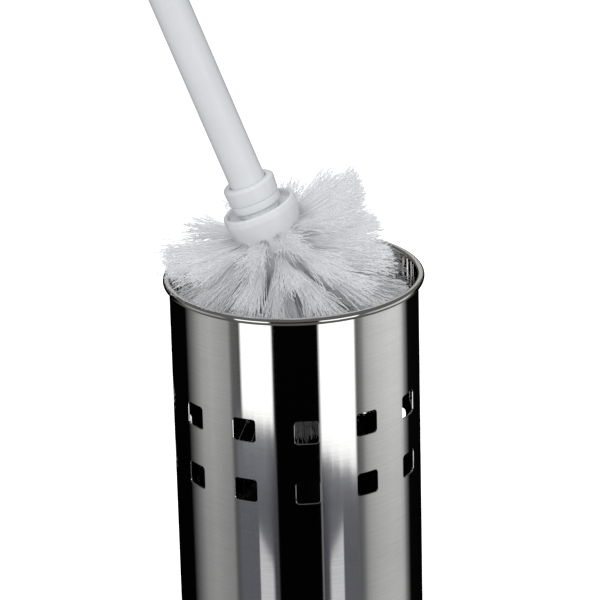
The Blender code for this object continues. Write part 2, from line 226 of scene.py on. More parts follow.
class Tool(Graph):
    """A Geometry Nodes tree with named inputs, whose result becomes a plain mesh."""

    def __init__(self, name: str) -> None:
        """Start an empty tree."""
        super().__init__(bpy.data.node_groups.new(name, "GeometryNodeTree"))
        self.tree.interface.new_socket("Geometry", in_out="INPUT", socket_type="NodeSocketGeometry")
        self.tree.interface.new_socket("Geometry", in_out="OUTPUT", socket_type="NodeSocketGeometry")
        self.source = self.tree.nodes.new("NodeGroupInput")
        self.knobs: dict[str, str] = {}

    @property
    def geometry(self) -> Wire:
        """The geometry of the object that the tool runs on."""
        return Wire(self, self.source.outputs[0])

    def knob(self, name: str, kind: str = "Float") -> Wire:
        """Add a named input.

        Args:
            name: what the input is called.
            kind: Float, Int, Object or Material.

        Returns:
            The input's value.
        """
        item = self.tree.interface.new_socket(name, in_out="INPUT", socket_type=f"NodeSocket{kind}")
        self.knobs[name] = item.identifier
        return Wire(self, next(s for s in self.source.outputs if s.identifier == item.identifier))

    def close(self, geometry: Wire, material: Wire) -> None:
        """End the tree: realize its instances and set the material."""
        real = self.add("GeometryNodeRealizeInstances", {}, {0: geometry})
        dressed = self.add("GeometryNodeSetMaterial", {}, {"Geometry": real, "Material": material})
        result = self.tree.nodes.new("NodeGroupOutput")
        self.tree.links.new(dressed.socket, result.inputs[0])

    def run(self, name: str, values: Mapping[str, Any],
            base: Union[bpy.types.Mesh, None] = None) -> bpy.types.Object:
        """Run the tool once.

        Args:
            name: the new piece's name.
            values: a value for each knob.
            base: the mesh to work on, if the tool needs one.

        Returns:
            The piece, a plain mesh without the modifier.
        """
        piece = linked(name, base or bpy.data.meshes.new(name))
        modifier = piece.modifiers.new(name, "NODES")
        modifier.node_group = self.tree
        for knob, value in values.items():
            modifier[self.knobs[knob]] = value
        settle(piece)
        return piece


# ---------------------------------------------------------------- mesh writing

def linked(name: str, data: bpy.types.ID) -> bpy.types.Object:
    """Return a new object of this mesh, light or camera, put into the scene."""
    piece = bpy.data.objects.new(name, data)
    bpy.context.scene.collection.objects.link(piece)
    return piece


def settle(piece: bpy.types.Object) -> bpy.types.Object:
    """Turn a piece's modifiers into its plain mesh, and return the piece."""
    graph = bpy.context.evaluated_depsgraph_get()
    mesh = bpy.data.meshes.new_from_object(
        piece.evaluated_get(graph), preserve_all_data_layers=True, depsgraph=graph)
    piece.modifiers.clear()
    piece.data = mesh
    mesh.name = piece.name
    return piece


def arc(centre: Point, radii: Point, first: float, last: float, steps: int) -> list[Point]:
    """Return points of an elliptical arc, its angles in degrees from +r."""
    angles = [math.radians(first + (last - first) * i / steps) for i in range(steps + 1)]
    return [(centre[0] + radii[0] * math.cos(a), centre[1] + radii[1] * math.sin(a)) for a in angles]


def rounded(corners: Sequence[Corner], closed: bool = False, steps: int = 6) -> list[Point]:
    """Round an outline's corners.

    Args:
        corners: each corner's radius from the axis, height and fillet radius.
        closed: whether the last corner joins the first.
        steps: faces in each fillet.

    Returns:
        The outline's points, the first repeated at the end if it is closed.
    """
    points: list[Point] = []
    for i, (r, z, fillet) in enumerate(corners):
        here = Vector((r, z))
        if not fillet or (not closed and i in (0, len(corners) - 1)):
            points.append((r, z))
            continue
        back = (Vector(corners[i - 1][:2]) - here).normalized()
        on = (Vector(corners[(i + 1) % len(corners)][:2]) - here).normalized()
        half = back.angle(on) / 2
        centre = here + (back + on).normalized() * fillet / math.sin(half)
        start = here + back * fillet / math.tan(half) - centre
        side = 1 if back.x * on.y - back.y * on.x < 0 else -1
        for k in range(steps + 1):
            swing = Matrix.Rotation(side * (math.pi - 2 * half) * k / steps, 2)
            points.append(tuple(centre + swing @ start))
    return points + [points[0]] if closed else points


def turned_mesh(name: str, outline: Sequence[Point], steps: int) -> bpy.types.Mesh:
    """Turn an outline about Z.

    Args:
        name: the mesh's name.
        outline: points that run down the outer side; closed if the last is the first.
        steps: faces round the axis.

    Returns:
        The mesh, with a single vertex wherever the outline meets the axis.
    """
    closed = outline[0] == outline[-1]
    points = list(outline[:-1]) if closed else list(outline)
    verts: list[tuple[float, float, float]] = []
    rings: list[list[int]] = []
    for r, z in points:
        first = len(verts)
        if r < 1e-7:
            verts.append((0.0, 0.0, z))
            rings.append([first] * steps)
            continue
        for k in range(steps):
            angle = 2 * math.pi * k / steps
            verts.append((r * math.cos(angle), r * math.sin(angle), z))
        rings.append(list(range(first, first + steps)))
    if closed:
        rings.append(rings[0])
    faces = []
    for upper, lower in zip(rings, rings[1:]):
        for k in range(steps):
            on = (k + 1) % steps
            loop = [upper[k], lower[k], lower[on], upper[on]]
            faces.append([v for i, v in enumerate(loop) if v != loop[i - 1]])
    mesh = bpy.data.meshes.new(name)
    mesh.from_pydata(verts, [], faces)
    return mesh


class Shade(Enum):
    """How a turned piece's surface is shaded."""

    PLAIN = "angle"
    WEIGHTED = "weighted"


def turned(name: str, outline: Sequence[Point], steps: int, placing: Matrix = Matrix(),
           shade: Shade = Shade.WEIGHTED) -> bpy.types.Object:
    """Make a turned piece in its place.

    Args:
        name: the piece's name.
        outline: see turned_mesh.
        steps: faces round the axis.
        placing: where the turned mesh goes.
        shade: WEIGHTED keeps flat and straight stretches true beside their fillets.

    Returns:
        The piece.
    """
    mesh = turned_mesh(name, outline, steps)
    mesh.transform(placing)
    mesh.shade_smooth()
    mesh.set_sharp_from_angle(angle=math.radians(32))
    piece = linked(name, mesh)
    if shade is Shade.WEIGHTED:
        weighted = piece.modifiers.new("weighted", "WEIGHTED_NORMAL")
        weighted.keep_sharp = True
        settle(piece)
    return piece


def dress(piece: bpy.types.Object, material: bpy.types.Material, body: str, slot: str, *nodes: str) -> None:
    """Give a piece its material and its place on the frame.

    Args:
        piece: the piece.
        material: its material.
        body: the body that it rides on.
        slot: the record's material slot; not used.
        nodes: the CAD nodes that it stands for.
    """
    piece.data.materials.clear()
    piece.data.materials.append(material)
    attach(piece, body)
    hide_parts(*nodes)
    LOG.info("%s: %d faces, rides on %s", piece.name, len(piece.data.polygons), body)


@dataclass(frozen=True)
class Dress:
    """What a piece wears: its material, the body that it rides on and the record's slot."""

    material: bpy.types.Material
    body: str
    slot: str

    def turn(self, name: str, node: str, outline: Sequence[Point], steps: int, placing: Matrix = Matrix(),
             shade: Shade = Shade.WEIGHTED) -> None:
        """Make a turned piece for a CAD node, in this dress.

        Args:
            name: the piece's name.
            node: the CAD node that it stands for.
            outline: see turned_mesh.
            steps: faces round the axis.
            placing: where the turned mesh goes.
            shade: how the surface is shaded.
        """
        dress(turned(name, outline, steps, placing, shade), self.material, self.body, self.slot, node)


# ---------------------------------------------------------------- where the brush stands

@dataclass(frozen=True)
class BrushLine:
    """The line that the brush is turned about."""

    origin: Vector
    up: Vector

    @classmethod
    def of_joint(cls, name: str) -> "BrushLine":
        """Return the line of the joint that unscrews the head, whose axis points down the brush."""
        joint = next(j for j in frame["joints"] if j["name"] == name)
        return cls(Vector(joint["pos_m"]), -Vector(joint["axis"]).normalized())

    @property
    def placing(self) -> Matrix:
        """The matrix out of the brush's own frame, with its lip at the origin and the handle up."""
        side = Vector((0, 1, 0)).cross(self.up)
        turn = Matrix((side, (0, 1, 0), self.up)).transposed()
        return Matrix.Translation(self.origin) @ turn.to_4x4()

    def span(self, node: str) -> tuple[float, float, float]:
        """Measure a CAD node along the line.

        Args:
            node: the node's name.

        Returns:
            Its largest radius, its lowest height and its highest height.
        """
        back = self.placing.inverted()
        points = np.array([back @ v.co for v in frame["nodes"][node].data.vertices])
        radius = np.hypot(points[:, 0], points[:, 1]).max()
        return float(radius), float(points[:, 2].min()), float(points[:, 2].max())


# ---------------------------------------------------------------- finishes

def new_material(name: str) -> tuple[bpy.types.Material, Graph, bpy.types.Node]:
    """Return a new material, its graph and its Principled shader."""
    material = bpy.data.materials.new(name)
    material.use_nodes = True
    return material, Graph(material.node_tree), material.node_tree.nodes["Principled BSDF"]


def feed(graph: Graph, shader: bpy.types.Node, sockets: Mapping[str, Input]) -> None:
    """Set or link the inputs of a shader node."""
    for name, value in sockets.items():
        if isinstance(value, Wire):
            graph.tree.links.new(value.socket, shader.inputs[name])
        else:
            shader.inputs[name].default_value = value


def place(graph: Graph, placing: Matrix) -> Wire:
    """Return the object's coordinates, in millimetres, in the frame that the placing matrix goes out from."""
    back = Matrix.Scale(1 / MM, 4) @ placing.inverted()
    return graph.add("ShaderNodeMapping", {}, {
        "Vector": graph.add("ShaderNodeTexCoord", {}, {}, "Object"),
        "Location": tuple(back.to_translation()), "Rotation": tuple(back.to_euler()), "Scale": 1 / MM})


class Grain(Enum):
    """The way that the brushing lines of turned steel run."""

    ROUND_SIDE = "round a cylinder's side"
    ROUND_FACE = "round a flat face"


@dataclass(frozen=True)
class TurnedSteel:
    """Polished stainless steel with fine brushing lines round its axis.

    Attributes:
        name: the material's name.
        tint: reflected colour.
        roughness: how dull the polish is.
        depth: depth of the brushing lines, in metres.
        grain: which way the lines run.
        placing: the frame that the piece was turned in.
    """

    name: str
    tint: Corner = (0.80, 0.797, 0.79)
    roughness: float = 0.040
    depth: float = 0.08e-6
    grain: Grain = Grain.ROUND_SIDE
    placing: Matrix = Matrix()

    def material(self) -> bpy.types.Material:
        """Return the material."""
        material, graph, shader = new_material(self.name)
        spot = place(graph, self.placing)
        x, y, z = graph.split(spot)
        across = z if self.grain is Grain.ROUND_SIDE else graph.maths("SQRT", x * x + y * y)
        lines, broad = (
            graph.noise(graph.join(x * along, y * along, across * fine), roughness=0.55)
            for along, fine in ((0.10, 14.0), (0.05, 2.6)))
        smear = graph.noise(spot, 0.045, 3.0, 0.6)
        bump = graph.bump(lines * 0.75 + broad * 0.5, self.depth)
        sparkle = graph.noise(spot, 2.2, 2.0, 0.7)
        tone = graph.smooth(broad * 0.35 + smear * 0.25 + sparkle * 0.4, 0.36, 0.64)
        dark = tuple(c * 0.88 for c in self.tint) + (1.0,)
        colour = graph.blend(tone, dark, (*self.tint, 1.0))
        rough = self.roughness * (0.75 + smear * 0.35 + lines * 0.25)
        feed(graph, shader, {"Base Color": colour, "Roughness": rough, "Metallic": 1.0, "Normal": bump})
        return material


@dataclass(frozen=True)
class Moulded:
    """Injection-moulded plastic with a faint orange-peel skin and cloudy tone.

    Attributes:
        name: the material's name.
        colour: its base colour.
        roughness: its mean roughness.
        pebble: size of the skin's pebbles, in millimetres.
        depth: depth of the skin, in metres.
        cloud: how far the tone varies, as a share of the colour.
        glow: how much light goes under the skin.
        placing: the frame that the piece was made in.
    """

    name: str
    colour: Corner
    roughness: float = 0.32
    pebble: float = 0.6
    depth: float = 4e-6
    cloud: float = 0.05
    glow: float = 0.0
    placing: Matrix = Matrix()

    def material(self) -> bpy.types.Material:
        """Return the material."""
        material, graph, shader = new_material(self.name)
        spot = place(graph, self.placing)
        skin = graph.noise(spot, 1 / self.pebble, 3.0)
        cloud = graph.noise(spot, 0.08, 4.0)
        flow = graph.noise(spot * (0.5, 0.5, 0.03))
        tone = graph.smooth(cloud * 0.6 + flow * 0.4, 0.3, 0.7)
        low = tuple(c * (1 - self.cloud) for c in self.colour) + (1.0,)
        colour = graph.blend(tone, low, (*self.colour, 1.0))
        feed(graph, shader, {
            "Base Color": colour, "Roughness": self.roughness * (0.85 + skin * 0.3),
            "Normal": graph.bump(skin, self.depth, 0.6),
            "Subsurface Weight": self.glow, "Subsurface Radius": (2.0, 2.0, 2.2), "Subsurface Scale": MM,
            "Specular IOR Level": 0.45})
        return material


@dataclass(frozen=True)
class Nylon:
    """Crimped white nylon strands, with painted shade low in the holder and at the roots, and a painted glow.

    Attributes:
        name: the material's name.
        shade: heights across which the painted shade on the strands fades out, from inside the holder's mouth
            to above its rim.
        colour: colour at the strands' tips.
        root: colour at their roots, darker as painted shade where the strands crowd at the hub.
        dull: colour that the dullest strands lean towards.
        dulled: how far they do.
        sunk: how much of the colour the painted shade below the rim takes.
        painted_glow_strength: strength of the painted glow (emission) that stands in for the light which
            comes back after many bounces from strand to strand.
        through: share of the light that goes through a strand.
    """

    name: str
    shade: Point
    colour: Corner = (0.93, 0.935, 0.945)
    root: Corner = (0.80, 0.805, 0.82)
    dull: Corner = (0.55, 0.56, 0.58)
    dulled: float = 0.22
    sunk: float = 0.10
    painted_glow_strength: float = 0.185
    through: float = 0.30

    def material(self) -> bpy.types.Material:
        """Return the material, which reads the strands' along and tone attributes."""
        material, graph, shader = new_material(self.name)
        along, tone = (
            graph.add("ShaderNodeAttribute", {"attribute_name": name}, {}, "Fac")
            for name in ("along", "tone"))
        spot = place(graph, Matrix())
        # Painted shade: each strand darkens towards its root at the hub.
        colour = graph.blend(graph.smooth(along, 0.03, 0.32), (*self.root, 1.0), (*self.colour, 1.0))
        toned = graph.blend(tone * self.dulled, colour, (*self.dull, 1.0))
        # Painted shade: by their height, strands inside the holder are darkened and lose their painted glow;
        # above the rim they are not.
        painted_lit_share = graph.smooth(graph.split(spot)[2], self.shade[0] / MM, self.shade[1] / MM)
        shaded = graph.blend(painted_lit_share, graph.blend(self.sunk, toned, BLACK), toned)
        # Painted glow: the strands emit their own colour in place of light scattered between them, weaker
        # towards the roots and gone low in the holder.
        painted_glow_along = graph.smooth(along, 0.03, 0.3) * 0.35 + graph.smooth(along, 0.3, 0.9) * 0.35 + 0.4
        soft = graph.blend(painted_lit_share * painted_glow_along, BLACK, toned)
        rough = 0.34 + graph.noise(spot, 1.5) * 0.18
        feed(graph, shader, {
            "Base Color": shaded, "Roughness": rough, "Specular IOR Level": 0.4,
            "Emission Color": soft, "Emission Strength": self.painted_glow_strength})
        thin = graph.add("ShaderNodeBsdfTranslucent", {}, {"Color": shaded})
        solid = Wire(graph, shader.outputs[0])
        both = graph.add("ShaderNodeMixShader", {}, {0: self.through, 1: solid, 2: thin})
        graph.tree.links.new(both.socket, material.node_tree.nodes["Material Output"].inputs["Surface"])
        return material


@dataclass(frozen=True)
class Rubber:
    """Soft black rubber with a dusty, finely pitted skin.

    Attributes:
        name: the material's name.
        colour: its base colour.
        dusty: colour of the dust on it.
    """

    name: str
    colour: Corner = (0.030, 0.030, 0.031)
    dusty: Corner = (0.075, 0.073, 0.070)

    def material(self) -> bpy.types.Material:
        """Return the material."""
        material, graph, shader = new_material(self.name)
        spot = place(graph, Matrix())
        pits = graph.add("ShaderNodeTexVoronoi", {}, {"Vector": spot, "Scale": 1.6}, "Distance")
        dust = graph.noise(spot, 0.15, 5.0)
        colour = graph.blend(graph.smooth(dust, 0.45, 0.75), (*self.colour, 1.0), (*self.dusty, 1.0))
        feed(graph, shader, {
            "Base Color": colour, "Roughness": 0.75 + dust * 0.2, "Normal": graph.bump(pits, 20e-6, 0.5)})
        return material


@dataclass(frozen=True)
class Finishes:
    """Every material of the object."""

    wall: bpy.types.Material
    steel: bpy.types.Material
    lid: bpy.types.Material
    grip: bpy.types.Material
    white: bpy.types.Material
    black: bpy.types.Material
    grey: bpy.types.Material
    nylon: bpy.types.Material
    rubber: bpy.types.Material

    @classmethod
    def mixed(cls, tilted: Matrix, rim: float) -> "Finishes":
        """Return the materials, those of the brush turned into its frame, its nylon with painted shade below
        the rim.
        """
        return cls(
            wall=TurnedSteel("polished_steel").material(),
            steel=TurnedSteel("plain_steel", (0.56, 0.56, 0.55), 0.24, 1.2e-6, Grain.ROUND_FACE).material(),
            lid=TurnedSteel("polished_steel_lid", grain=Grain.ROUND_FACE, placing=tilted).material(),
            grip=TurnedSteel("polished_steel_grip", placing=tilted).material(),
            white=Moulded("white_plastic", (0.80, 0.81, 0.825), 0.33, placing=tilted).material(),
            black=Moulded("black_plastic", (0.022, 0.022, 0.023), 0.42, 0.35, 10e-6, 0.25).material(),
            grey=Moulded("grey_plastic", (0.30, 0.31, 0.32), 0.45, 0.4, 8e-6, 0.08).material(),
            nylon=Nylon("white_nylon", (rim - 24 * MM, rim + 10 * MM)).material(),
            rubber=Rubber("black_rubber").material(),
        )


# ---------------------------------------------------------------- holder

@dataclass(frozen=True)
class HolderShell:
    """The perforated steel wall, with its rim rolled outwards.

    Attributes:
        bottom: height of the wall's lower edge.
        top: height of the rim's top.
        rim: outer radius of the rolled bead.
        wall: thickness of the sheet.
        overhang: how far the bead stands out from the wall.
        curl: angle at which the rolled edge ends, in degrees.
        holes: holes in each row.
        rows: depth of each row's centres below the rim's top.
        first: angle of the hole nearest the front, from -Y towards +X, in degrees.
        pitch: angle between two holes, in degrees; the blank across the seam at the back is wider.
        size: side of a hole.
        corner: corner radius of a hole.
        chamfer: how far the holes' edges are eased.
    """

    bottom: float
    top: float
    rim: float
    wall: float = 0.6 * MM
    overhang: float = 2.3 * MM
    curl: float = -121.0
    holes: int = 12
    rows: tuple[float, float] = (46.35 * MM, 70.80 * MM)
    first: float = 4.1
    pitch: float = 29.1
    size: float = 9.1 * MM
    corner: float = 1.2 * MM
    chamfer: float = 0.16 * MM

    @property
    def outer(self) -> float:
        """Outer radius of the wall."""
        return self.rim - self.overhang

    @property
    def inner(self) -> float:
        """Inner radius of the wall."""
        return self.outer - self.wall

    @property
    def bead(self) -> Point:
        """Centre of the rolled bead's section."""
        radius = (self.rim - self.inner) / 2
        return self.inner + radius, self.top - radius

    def outline(self) -> list[Point]:
        """Return the closed section: down the outer side, up the inner side and round the bead."""
        radius, ease = self.bead[0] - self.inner, self.wall / 4
        foot = rounded([(self.outer, self.bead[1], 0), (self.outer, self.bottom, ease),
                        (self.inner, self.bottom, ease), (self.inner, self.bead[1], 0)], steps=3)
        over = arc(self.bead, (radius,) * 2, 180, self.curl, 34)
        back = arc(self.bead, (radius - self.wall,) * 2, self.curl, 180, 18)
        return foot[:-1] + over + back[:-1] + [foot[0]]

    def punch(self) -> bpy.types.Object:
        """Return the block that cuts one hole, bent to the wall and flared at both of its faces."""
        reach = 0.5 * MM
        stages = [(self.outer + reach, self.chamfer + reach), (self.outer, self.chamfer),
                  (self.outer - self.chamfer, 0.0), (self.inner + self.chamfer / 2, 0.0),
                  (self.inner, self.chamfer / 2), (self.inner - reach, self.chamfer / 2 + reach)]
        verts, faces = [], []
        for radius, wider in stages:
            verts += [(x, -math.sqrt(radius ** 2 - x ** 2), z) for x, z in self._square(wider)]
        count = len(self._square(0.0))
        for stage in range(len(stages) - 1):
            a, b = stage * count, (stage + 1) * count
            faces += [(a + k, b + k, b + (k + 1) % count, a + (k + 1) % count) for k in range(count)]
        faces += [tuple(range(count)), tuple(reversed(range(len(verts) - count, len(verts))))]
        mesh = bpy.data.meshes.new("punch")
        mesh.from_pydata(verts, [], faces)
        return linked("punch", mesh)

    def _square(self, wider: float) -> list[Point]:
        """Return the hole's rounded square, this much wider on every side, anticlockwise in x and z."""
        half, corner, points = self.size / 2 + wider, self.corner + wider, []
        for turn in range(4):
            for x, z in arc((half - corner, half - corner), (corner, corner), 0, 90, 6):
                points.append(tuple(Matrix.Rotation(turn * math.pi / 2, 2) @ Vector((x, z))))
            start, end = Vector((half - corner, half)), Vector((corner - half, half))
            for k in range(1, 8):
                points.append(tuple(Matrix.Rotation(turn * math.pi / 2, 2) @ start.lerp(end, k / 8)))
        return points

    def perforator(self) -> Tool:
        """Return the tool that sets the block round the wall and cuts with every copy."""
        tool = Tool("perforate")
        block = tool.knob("Block", "Object")
        holes = tool.knob("Holes per row", "Int")
        upper, lower = tool.knob("Upper row height"), tool.knob("Lower row height")
        first, pitch = tool.knob("First angle"), tool.knob("Pitch")
        material = tool.knob("Material", "Material")
        index = tool.add("GeometryNodeInputIndex")
        row = tool.maths("FLOOR", index / holes)
        turn = first + (index - row * holes - holes / 2.0) * pitch
        height = tool.blend(row, upper, lower, "FLOAT")
        points = tool.add("GeometryNodePoints", {}, {
            "Count": holes * 2.0, "Position": tool.join(0.0, 0.0, height), "Radius": 0.001}, "Geometry")
        shape = tool.add("GeometryNodeObjectInfo", {}, {"Object": block}, "Geometry")
        euler = tool.add("FunctionNodeEulerToRotation", {}, {0: tool.join(0.0, 0.0, turn)})
        copies = tool.add("GeometryNodeInstanceOnPoints", {}, {
            "Points": points, "Instance": shape, "Rotation": euler}, "Instances")
        blocks = tool.add("GeometryNodeRealizeInstances", {}, {0: copies})
        cut = tool.add("GeometryNodeMeshBoolean", {"operation": "DIFFERENCE", "solver": "EXACT"}, {
            "Mesh 1": tool.geometry, "Mesh 2": blocks}, "Mesh")
        tool.close(cut, material)
        return tool

    def build(self, material: bpy.types.Material) -> bpy.types.Object:
        """Make the wall, perforated and with normals true to its turned surfaces."""
        block = self.punch()
        plain = turned_mesh("holder_wall", self.outline(), 360)
        shell = self.perforator().run("holder_wall", {
            "Block": block, "Holes per row": self.holes, "Upper row height": self.top - self.rows[0],
            "Lower row height": self.top - self.rows[1], "First angle": math.radians(self.first),
            "Pitch": math.radians(self.pitch), "Material": material}, plain)
        bpy.data.objects.remove(block, do_unlink=True)
        self._true_normals(shell.data)
        return shell

    def _true_normals(self, mesh: bpy.types.Mesh) -> None:
        """Give the wall's two sides radial normals and the bead round ones; the cut edges stay flat."""
        count = len(mesh.loops)
        corner = np.empty(count, np.int32)
        mesh.loops.foreach_get("vertex_index", corner)
        points = np.empty(len(mesh.vertices) * 3)
        mesh.vertices.foreach_get("co", points)
        points = points.reshape(-1, 3)[corner]
        totals = np.empty(len(mesh.polygons), np.int32)
        mesh.polygons.foreach_get("loop_total", totals)
        flat = np.empty(len(mesh.polygons) * 3)
        mesh.polygons.foreach_get("normal", flat)
        flat = np.repeat(flat.reshape(-1, 3), totals, axis=0)
        radius = np.hypot(points[:, 0], points[:, 1])
        out = np.column_stack([points[:, 0] / radius, points[:, 1] / radius, np.zeros(count)])
        facing = (flat * out).sum(axis=1)
        normals = flat.copy()
        side = (np.abs(facing) > 0.95) & (np.abs(radius - self.bead[0]) > 1e-5)
        normals[side] = out[side] * np.sign(facing[side])[:, None]
        rolled = points[:, 2] > self.bead[1] + 1e-6
        rolled |= (radius > self.outer + 0.1 * MM) & (points[:, 2] > self.top - 5 * MM)
        across = (radius - self.bead[0])[:, None] * out
        across[:, 2] = points[:, 2] - self.bead[1]
        length = np.linalg.norm(across, axis=1, keepdims=True)
        across /= np.maximum(length, 1e-9)
        agree = (across * flat).sum(axis=1)
        rolled &= np.abs(agree) > 0.9
        normals[rolled] = across[rolled] * np.sign(agree[rolled])[:, None]
        mesh.shade_smooth()
        mesh.normals_split_custom_set([tuple(n) for n in normals])


@dataclass(frozen=True)
class HolderBase:
    """The base cap, its anti-slip pad and the steel plate on it.

    Attributes:
        shell: the wall that the cap holds.
        fit: gap between neighbouring pieces.
        rings: grooves in the pad's underside.
        steps: faces round the axis.
    """

    shell: HolderShell
    fit: float = 0.3 * MM
    rings: int = 5
    steps: int = 192

    def build(self, finishes: Finishes) -> None:
        """Make the three pieces."""
        pad_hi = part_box("anti_slip_pad")[1]
        under = [(pad_hi.x, 0.0, 0.4 * MM)]
        channel = ((0, 0), (0.4, 0.5), (1.6, 0.5), (2, 0))
        for i in range(self.rings):
            edge = pad_hi.x - (4 + 7 * i) * MM
            under += [(edge - inward * MM, deep * MM, 0.0) for inward, deep in channel]
        Dress(finishes.rubber, "holder", "black_rubber").turn("base_pad", "anti_slip_pad", rounded([
            (0, pad_hi.z, 0), (pad_hi.x, pad_hi.z, 0.3 * MM), *under, (0, 0, 0)]), self.steps)
        cap_lo, cap_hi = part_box("base_cap")
        plate_lo, plate_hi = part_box("bottom_plate")
        floor = plate_lo.z - self.fit
        groove = self.shell.bottom - self.fit
        inside, outside = self.shell.inner - self.fit, self.shell.outer + self.fit
        recess, ceiling, lip = pad_hi.x + self.fit, pad_hi.z + self.fit, cap_hi.x - outside
        Dress(finishes.black, "holder", "black_plastic").turn("base_lip", "base_cap", rounded([
            (0, floor, 0), (inside, floor, 0.2 * MM), (inside, groove, 0.1 * MM), (outside, groove, 0.1 * MM),
            (outside, cap_hi.z, 0.25 * MM), (cap_hi.x, cap_hi.z, lip / 2), (cap_hi.x, cap_lo.z, lip * 0.95),
            (recess, cap_lo.z, 0.2 * MM), (recess, ceiling, 0.2 * MM), (0, ceiling, 0)]), self.steps)
        ease = 0.15 * MM
        Dress(finishes.steel, "holder", "plain_steel").turn("inner_floor", "bottom_plate", rounded([
            (0, plate_hi.z, 0), (plate_hi.x, plate_hi.z, ease), (plate_hi.x, plate_lo.z, ease),
            (0, plate_lo.z, 0)]), self.steps)


@dataclass(frozen=True)
class DripCup:
    """The cup inside the holder that catches the drips.

    Attributes:
        shell: the wall that the cup stands in.
        wall: thickness of the cup.
        side_room: from the cup's side to the wall, just under the lip.
        draft: how much narrower the cup is at its floor.
        steps: faces round the axis.
    """

    shell: HolderShell
    wall: float = 1.2 * MM
    side_room: float = 2.3 * MM
    draft: float = 2.0 * MM
    steps: int = 192

    def build(self, finishes: Finishes) -> None:
        """Make the cup."""
        lo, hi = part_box("drip_cup")
        side = self.shell.inner - self.side_room
        foot, floor, bend = side - self.draft, lo.z + self.wall, 3 * self.wall
        under, hollow, sharp = hi.z - self.wall, lo.z + 0.4 * MM, 0.2 * MM
        Dress(finishes.grey, "liner", "grey_plastic").turn("cup", "drip_cup", rounded([
            (0, floor, 0), (foot - self.wall, floor, bend - self.wall), (side - self.wall, hi.z, self.wall),
            (hi.x, hi.z, self.wall / 2), (hi.x, under, self.wall / 3), (side, under, 0.3 * MM),
            (foot, lo.z, bend), (foot - 8 * MM, lo.z, sharp), (foot - 8.5 * MM, hollow, sharp),
            (0, hollow, 0)], steps=8), self.steps)


# ---------------------------------------------------------------- brush

@dataclass(frozen=True)
class Hub:
    """The egg-shaped hub that the bristles grow from, in the brush's frame.

    Attributes:
        radius: radius of the widest ring.
        length: from the lip to the tip.
        lip: outer radius of the lip.
        lip_wall: thickness of the lip round the recess.
        recess: depth of the recess.
        widest: depth of the widest ring.
        egg: exponent of the side's curve: 1 is a cone and 2 an ellipse.
        bore: radius of the bore for the ferrule's spigot.
        bore_end: depth of the bore.
    """

    radius: float
    length: float
    lip: float = 14.3 * MM
    lip_wall: float = 1.8 * MM
    recess: float = 2.5 * MM
    widest: float = 2.8 * MM
    egg: float = 1.14
    bore: float = 5.3 * MM
    bore_end: float = 28.8 * MM

    def side(self, first: float, steps: int) -> list[Point]:
        """Return the outer side from this depth to the tip."""
        points = []
        narrowing = self.radius - self.lip
        bulge = (self.widest ** 2 + narrowing ** 2) / (2 * narrowing)
        if first < self.widest:
            for i in range(8):
                depth = first + (self.widest - first) * i / 8
                inset = bulge - math.sqrt(bulge ** 2 - (self.widest - depth) ** 2)
                points.append((self.radius - inset, -depth))
        length, power = self.length - self.widest, 2 / self.egg
        start = math.asin((max(first - self.widest, 0) / length) ** (1 / power))
        for i in range(steps + 1):
            angle = start + (math.pi / 2 - start) * i / steps
            depth = self.widest + length * math.sin(angle) ** power
            points.append((self.radius * math.cos(angle) ** power, -depth))
        points[-1] = (0, points[-1][1])
        return points

    def outline(self) -> list[Point]:
        """Return the hub's section, from its bore over the lip and down the outer side."""
        inside, ease = self.lip - self.lip_wall, self.lip_wall / 2.6
        top = rounded([
            (0, -self.bore_end, 0), (self.bore, -self.bore_end, 0.4 * MM),
            (self.bore, -self.recess, 0.3 * MM), (inside, -self.recess, 0.5 * MM), (inside, 0, ease),
            (self.lip, 0, ease * 1.2), (self.lip, -self.widest, 0)], steps=6)[:-1]
        return top + self.side(2.2 * MM, 60)


def along(outline: Sequence[Point], share: float) -> Point:
    """Return the point at this share of an outline's length."""
    points = np.array(outline)
    lengths = np.concatenate([[0.0], np.cumsum(np.hypot(*np.diff(points, axis=0).T))])
    at = share * lengths[-1]
    return float(np.interp(at, lengths, points[:, 0])), float(np.interp(at, lengths, points[:, 1]))


@dataclass(frozen=True)
class BristleRow:
    """One ring of tufts.

    Attributes:
        tufts: tufts in the ring.
        strands: strands in each tuft.
        fan: how far a tuft's edge strands turn away sideways, in radians.
        lift: how far they turn away up and down, in radians.
        seed: seed of everything random in the row.
    """

    tufts: int
    strands: int
    fan: float
    lift: float
    seed: int


